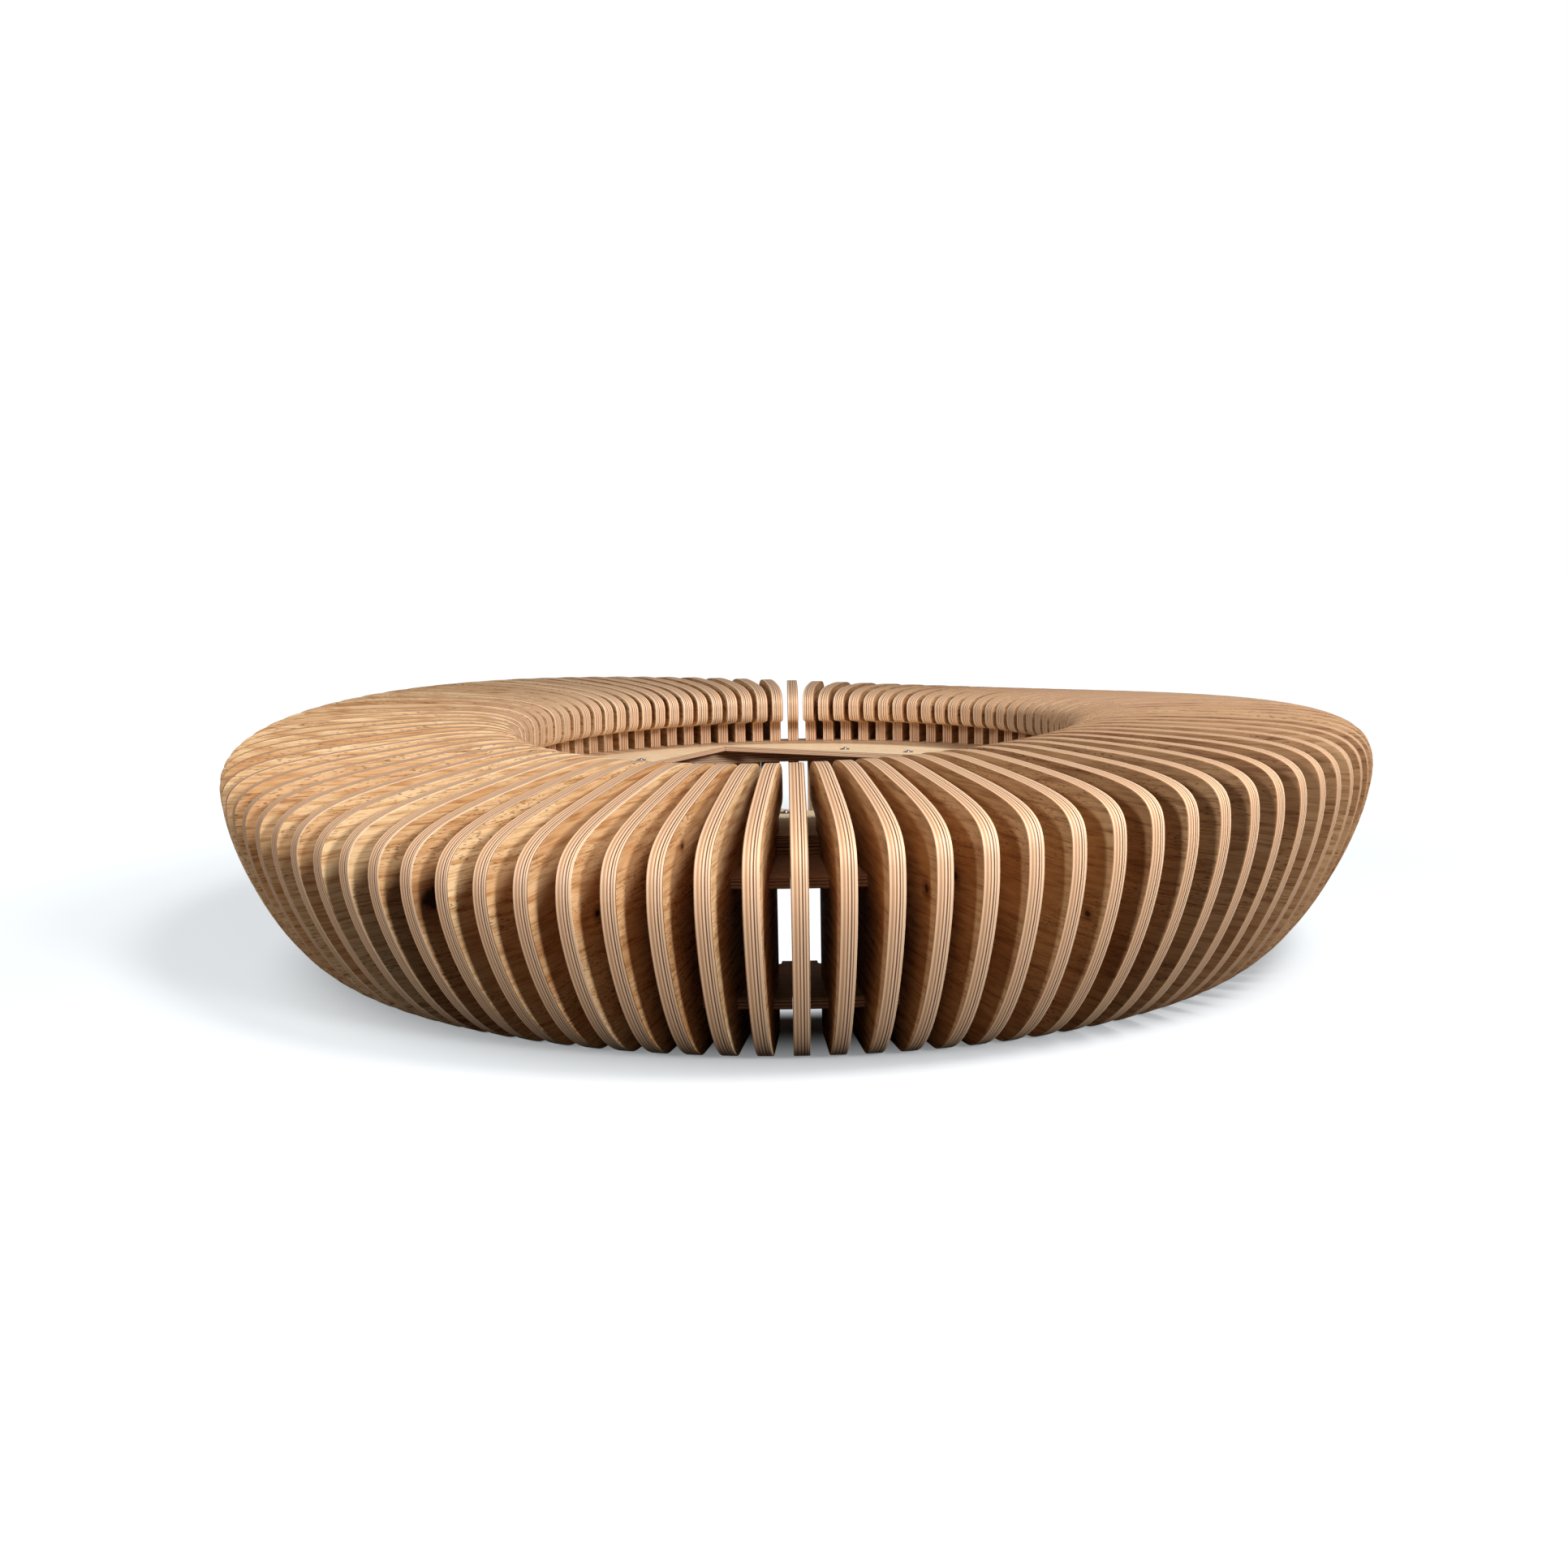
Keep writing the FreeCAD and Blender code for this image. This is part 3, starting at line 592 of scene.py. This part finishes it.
def rib_material(size, wood, veneer, knot, layers):
    """Plywood ribs: veneer on both faces, sawn layers round the edge, and dark or pale arrises."""
    material, tree, shader = new_material("Rib plywood")
    plank = attribute(tree, "plank")
    sheet = parts_of(tree, attribute(tree, "sheet"))
    knot_centre = attribute(tree, "knot")
    s = parts_of(tree, plank)[2]
    grain = place_group(tree, veneer, {"Place": plank})
    face_side = work_out(tree, "GREATER_THAN", s, 0.0)

    def face(light, middle, dark, tone):
        shown = ramp(tree, grain["Figure"], [(0.10, dark), (0.44, middle), (0.70, light)])
        deep = mix(tree, 0.62, shown, middle, "MULTIPLY")
        amount = work_out(tree, "MULTIPLY_ADD", tone, 0.8, -1.25)
        amount = work_out(tree, "MULTIPLY_ADD", grain["Clouds"], 2.4, amount)
        return mix(tree, work_out(tree, "ADD", amount, 0.0, clamp=True), shown, deep)

    # The face with s > 0 gets the better veneer. The backing veneer on the other face is a darker copy:
    # partly a real backing veneer, partly painted shade standing in for the shade on the faces that ribs on
    # a viewer's right turn towards the viewer
    better = face(wood.honey, wood.amber, wood.russet, sheet[1])
    shaded_backing = face(wood.tan, wood.brown, wood.umber, sheet[2])
    veneered = mix(tree, face_side, shaded_backing, better)
    veneered = mix(tree, work_out(tree, "MULTIPLY", grain["Pores"], 0.7), veneered, wood.umber)
    knots = place_group(tree, knot, {"Place": plank, "Centre": knot_centre,
                                     "Radius": parts_of(tree, knot_centre)[2]})
    veneered = mix(tree, work_out(tree, "MULTIPLY", knots["Halo"], 0.6), veneered, wood.russet, "MULTIPLY")
    veneered = mix(tree, knots["Heart"], veneered, wood.knot)

    across = work_out(tree, "MULTIPLY_ADD", s, 1.0 / size.sheet, 0.5)
    along = add_node(tree, "ShaderNodeCombineXYZ", {0: sheet[0], 1: s, 2: sheet[1]})
    edge = place_group(tree, layers, {"Across": across, "Along": along.outputs[0]})
    # The thin outer veneer shows on each arris, pale on some ribs and dark on others
    rim = step_between(tree, across, 0.94, 0.955)
    pale = step_between(tree, sheet[2], 0.45, 0.55)
    rim_colour = mix(tree, pale, wood.cocoa, wood.cream)
    edge_colour = mix(tree, rim, edge["Color"], rim_colour)
    outer = work_out(tree, "ABSOLUTE", s)
    half = size.sheet / 2.0
    on_face = step_between(tree, outer, half - 0.5 * size.arris, half - 0.1 * size.arris)
    shown = mix(tree, on_face, edge_colour, veneered)
    tree.links.new(shown, shader.inputs["Base Color"])
    height = add_node(tree, "ShaderNodeMix", {0: on_face, 2: edge["Height"], 3: grain["Height"]},
                      data_type="FLOAT")
    rough = work_out(tree, "MULTIPLY_ADD", grain["Figure"], -0.14, 0.60)
    tree.links.new(rough, shader.inputs["Roughness"])
    bump(tree, shader, height.outputs[0], 0.25)
    return material


def board_material(name, wood, veneer, layers, underside, sheet, light, dark, turn=0.0):
    """Flat boards: veneer on top and below, layers on the edges, by the height in the board."""
    material, tree, shader = new_material(name)
    shader.inputs["Roughness"].default_value = 0.55
    spot_node = add_node(tree, "ShaderNodeTexCoord")
    place = add_node(tree, "ShaderNodeMapping", {"Vector": spot_node.outputs["Object"],
                                                 "Rotation": (0.0, 0.0, turn)})
    grain = place_group(tree, veneer, {"Place": place.outputs[0]})
    facing = parts_of(tree, spot_node.outputs["Normal"])[2]
    flat = step_between(tree, work_out(tree, "ABSOLUTE", facing), 0.5, 0.8)
    top = ramp(tree, grain["Figure"], [(0.15, dark), (0.65, light)])
    top = mix(tree, work_out(tree, "MULTIPLY", grain["Pores"], 0.35), top, wood.toffee)
    xyz = parts_of(tree, spot_node.outputs["Object"])
    across = work_out(tree, "MULTIPLY_ADD", xyz[2], 1.0 / sheet, -underside / sheet, clamp=True)
    along = add_node(tree, "ShaderNodeCombineXYZ", {0: work_out(tree, "ADD", xyz[0], xyz[1]), 1: xyz[2],
                                                    2: work_out(tree, "SUBTRACT", xyz[0], xyz[1])})
    edge = place_group(tree, layers, {"Across": across, "Along": along.outputs[0]})
    tree.links.new(mix(tree, flat, edge["Color"], top), shader.inputs["Base Color"])
    bump(tree, shader, grain["Height"], 0.2)
    return material


def metal_material():
    """Plain steel screws with a faint turned texture."""
    material, tree, shader = new_material("Screw steel")
    shader.inputs["Metallic"].default_value = 1.0
    spot_node = add_node(tree, "ShaderNodeTexCoord")
    fine = add_node(tree, "ShaderNodeTexNoise", {"Vector": spot_node.outputs["Object"], "Scale": 900.0})
    shown = ramp(tree, fine.outputs["Fac"], [(0.3, tint(150, 150, 152)), (0.7, tint(196, 196, 198))])
    tree.links.new(shown, shader.inputs["Base Color"])
    rough = work_out(tree, "MULTIPLY_ADD", fine.outputs["Fac"], 0.2, 0.28)
    tree.links.new(rough, shader.inputs["Roughness"])
    return material


def shared(name, build):
    """A node group that is built once, and found again by its name."""
    return bpy.data.node_groups.get(name) or build()


def dress(node, material):
    """A CAD node keeps its shape and gets the material in all its slots."""
    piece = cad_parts[node]
    for slot in piece.material_slots:
        slot.material = material


# Operators

class TREEBENCH_OT_ribs(bpy.types.Operator):
    """Build the 96 ribs, three to a piece, in place of the plain ones"""
    bl_idname = "treebench.ribs"
    bl_label = "Ribs"

    def execute(self, context):
        size = settings().ribs
        wood = settings().wood
        layers = layers_group(wood, "Rib layers", size.sheet / MM, RIB_LINES)
        material = rib_material(size, wood, shared("Veneer grain", veneer_group), knot_group(), layers)
        places, normals, attributes = build_ribs(size)
        rows, points = places.shape[1:3]
        faces = rib_faces(RIBS_PER_NODE, rows, points)
        for number in range(RIB_COUNT // RIBS_PER_NODE):
            some = slice(number * RIBS_PER_NODE, (number + 1) * RIBS_PER_NODE)
            own = {label: values[some] for label, values in attributes.items()}
            piece = make_object("rib_set_{:02d}".format(number + 1), places[some], faces, material,
                                normals[some], own)
            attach(piece, "root")
            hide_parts("ribs_{:02d}".format(number + 1))
        return {"FINISHED"}


class TREEBENCH_OT_boards(bpy.types.Operator):
    """Give the rings, packers, splices, battens and cover boards their plywood"""
    bl_idname = "treebench.boards"
    bl_label = "Boards"

    def execute(self, context):
        size = settings().ribs
        wood = settings().wood
        veneer = shared("Veneer grain", veneer_group)
        layers = layers_group(wood, "Board layers", BOARD_LINES[-1][0], BOARD_LINES)
        lower = board_material("Lower ring plywood", wood, veneer, layers, size.lower_ring, size.ring_sheet,
                               wood.straw, wood.biscuit)
        upper = board_material("Upper ring plywood", wood, veneer, layers, size.upper_ring, size.ring_sheet,
                               wood.straw, wood.biscuit, turn=0.9)
        packing = board_material("Packer plywood", wood, veneer, layers, size.upper_ring + size.ring_sheet,
                                 PACKER_SHEET, wood.biscuit, wood.toffee, turn=0.4)
        cover = board_material("Cover plywood", wood, veneer, layers, size.cover_top - COVER_SHEET,
                               COVER_SHEET, wood.cover_pale, wood.cover_grain, turn=0.55)
        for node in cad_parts:
            if node.startswith("lower_"):
                dress(node, lower)
            elif node.startswith("upper_ring"):
                dress(node, upper)
            elif node.startswith("packer_") and node != "packer_screws" or node == "cover_battens":
                dress(node, packing)
            elif node.startswith("cover_board"):
                dress(node, cover)
        return {"FINISHED"}


class TREEBENCH_OT_screws(bpy.types.Operator):
    """Give the screws their steel"""
    bl_idname = "treebench.screws"
    bl_label = "Screws"

    def execute(self, context):
        steel = metal_material()
        for node in ("cover_screws", "packer_screws", "splice_screws"):
            dress(node, steel)
        return {"FINISHED"}


# Where the floor's glow changes, as distances from FLOOR_MIDDLE: inside the bench it is white, a painted
# light where the bench shades the floor; under the feet it is dark, a painted shade where the glow falls to
# nothing; round the bench it takes shadows, and further off it is white again
FLOOR_MIDDLE = (0.0, -0.026, 0.0)
FLOOR_INSIDE_PAINTED_LIGHT = (0.62, 0.74)
FLOOR_FEET_PAINTED_SHADE = (0.80, 1.16)
FLOOR_FAR = (1.45, 2.3)
FLOOR_RADIUS = 40.0
FLOOR_POINTS = 96
FLOOR_HEIGHT = -0.5 * MM
FLOOR_TINT = (0.93, 0.972, 1.0)
SHADOW_GLOW = 0.65
WHITE_GLOW = 1.1

# Places and widths of the lamps, and the point that they face
KEY_LAMP = (3.3, -3.3, 6.3), 2.2
RIGHT_LAMP = (3.3, -4.9, 2.3), 1.1
LEFT_LAMP = (-3.5, -4.6, 2.3), 1.1
LAMP_AIM = (0.0, 0.0, 0.25)


class TREEBENCH_OT_stage(bpy.types.Operator):
    """Set up the pale floor, the soft light and the camera"""
    bl_idname = "treebench.stage"
    bl_label = "Studio"

    def execute(self, context):
        studio = settings().studio
        self.floor()
        self.light(studio)
        self.camera(context, studio)
        return {"FINISHED"}

    def floor(self):
        material, tree, shader = new_material("Pale floor")
        shader.inputs["Roughness"].default_value = 0.8
        shader.inputs["Specular IOR Level"].default_value = 0.0
        shader.inputs["Emission Color"].default_value = full(FLOOR_TINT)
        seen = add_node(tree, "ShaderNodeLightPath")
        direct = seen.outputs["Is Camera Ray"]
        place = add_node(tree, "ShaderNodeTexCoord").outputs["Object"]
        # The glow follows the distance from FLOOR_MIDDLE, not the lamps: painted light inside the bench,
        # painted shade under its feet
        away = vector_work(tree, "LENGTH", vector_work(tree, "SUBTRACT", place, FLOOR_MIDDLE))
        far = step_between(tree, away, *FLOOR_FAR)
        inside = work_out(tree, "SUBTRACT", 1.0, step_between(tree, away, *FLOOR_INSIDE_PAINTED_LIGHT))
        plain = work_out(tree, "MAXIMUM", inside, far)
        near_glow = work_out(tree, "MULTIPLY", step_between(tree, away, *FLOOR_FEET_PAINTED_SHADE), SHADOW_GLOW)
        glow = add_node(tree, "ShaderNodeMix", {0: plain, 2: near_glow, 3: WHITE_GLOW}, data_type="FLOAT")
        seen_base = mix(tree, plain, (0.42, 0.43, 0.44), (0.0, 0.0, 0.0))
        tree.links.new(mix(tree, direct, (0.05, 0.05, 0.05), seen_base), shader.inputs["Base Color"])
        glow_seen = work_out(tree, "MULTIPLY", direct, glow.outputs[0])
        tree.links.new(glow_seen, shader.inputs["Emission Strength"])
        turn = np.linspace(0.0, 2.0 * math.pi, FLOOR_POINTS, endpoint=False)
        ring = np.stack([FLOOR_RADIUS * np.cos(turn), FLOOR_RADIUS * np.sin(turn),
                         np.full_like(turn, FLOOR_HEIGHT)], axis=-1)
        floor = make_object("studio_floor", ring, [list(range(FLOOR_POINTS))], material)

    def light(self, studio):
        world = bpy.data.worlds.new("Studio")
        bpy.context.scene.world = world
        world.use_nodes = True
        tree = world.node_tree
        background = tree.nodes["Background"]
        seen = add_node(tree, "ShaderNodeLightPath")
        direct = work_out(tree, "MAXIMUM", seen.outputs["Is Camera Ray"],
                          seen.outputs["Is Transmission Ray"])
        up = parts_of(tree, add_node(tree, "ShaderNodeTexCoord").outputs["Generated"])[2]
        sky = work_out(tree, "MULTIPLY", step_between(tree, up, 0.0, 0.9), studio.sky)
        strength = work_out(tree, "MAXIMUM", direct, sky)
        background.inputs["Color"].default_value = (1.0, 1.0, 1.0, 1.0)
        tree.links.new(strength, background.inputs["Strength"])
        self.lamp("key_lamp", *KEY_LAMP, studio.key_power)
        self.lamp("right_lamp", *RIGHT_LAMP, studio.right_power)
        self.lamp("left_lamp", *LEFT_LAMP, studio.left_power)

    def lamp(self, name, place, width, power):
        data = bpy.data.lights.new(name, "AREA")
        data.shape = "DISK"
        data.size = width
        data.energy = power
        lamp = bpy.data.objects.new(name, data)
        away = Vector(place) - Vector(LAMP_AIM)
        lamp.matrix_world = Matrix.Translation(place) @ away.to_track_quat("Z", "Y").to_matrix().to_4x4()
        bpy.context.scene.collection.objects.link(lamp)

    def camera(self, context, studio):
        data = bpy.data.cameras.new("photo_camera")
        data.sensor_width = 36.0
        data.lens = studio.focal
        camera = bpy.data.objects.new("photo_camera", data)
        turn = (Matrix.Rotation(studio.yaw, 4, "Z") @ Matrix.Rotation(math.pi / 2.0 - studio.pitch, 4, "X")
                @ Matrix.Rotation(studio.roll, 4, "Z"))
        camera.matrix_world = Matrix.Translation(studio.eye) @ turn
        context.scene.collection.objects.link(camera)
        context.scene.camera = camera
        context.scene.view_settings.view_transform = "Standard"


class TREEBENCH_PT_panel(bpy.types.Panel):
    """The bench's parts in the 3D view's sidebar"""
    bl_idname = "TREEBENCH_PT_panel"
    bl_label = "Tree bench"
    bl_space_type = "VIEW_3D"
    bl_region_type = "UI"
    bl_category = "Tree bench"

    def draw(self, context):
        for operator in STEPS:
            self.layout.operator(operator.bl_idname)


STEPS = (TREEBENCH_OT_ribs, TREEBENCH_OT_boards, TREEBENCH_OT_screws, TREEBENCH_OT_stage)
CLASSES = (RibSizes, WoodColours, StudioSettings, BenchSettings) + STEPS + (TREEBENCH_PT_panel,)


def register():
    for cls in CLASSES:
        bpy.utils.register_class(cls)
    bpy.types.Scene.tree_bench = bpy.props.PointerProperty(type=BenchSettings)


def unregister():
    del bpy.types.Scene.tree_bench
    for cls in reversed(CLASSES):
        bpy.utils.unregister_class(cls)


def main():
    register()
    bpy.ops.treebench.ribs()
    bpy.ops.treebench.boards()
    bpy.ops.treebench.screws()
    bpy.ops.treebench.stage()


if __name__ == "__main__":
    main()
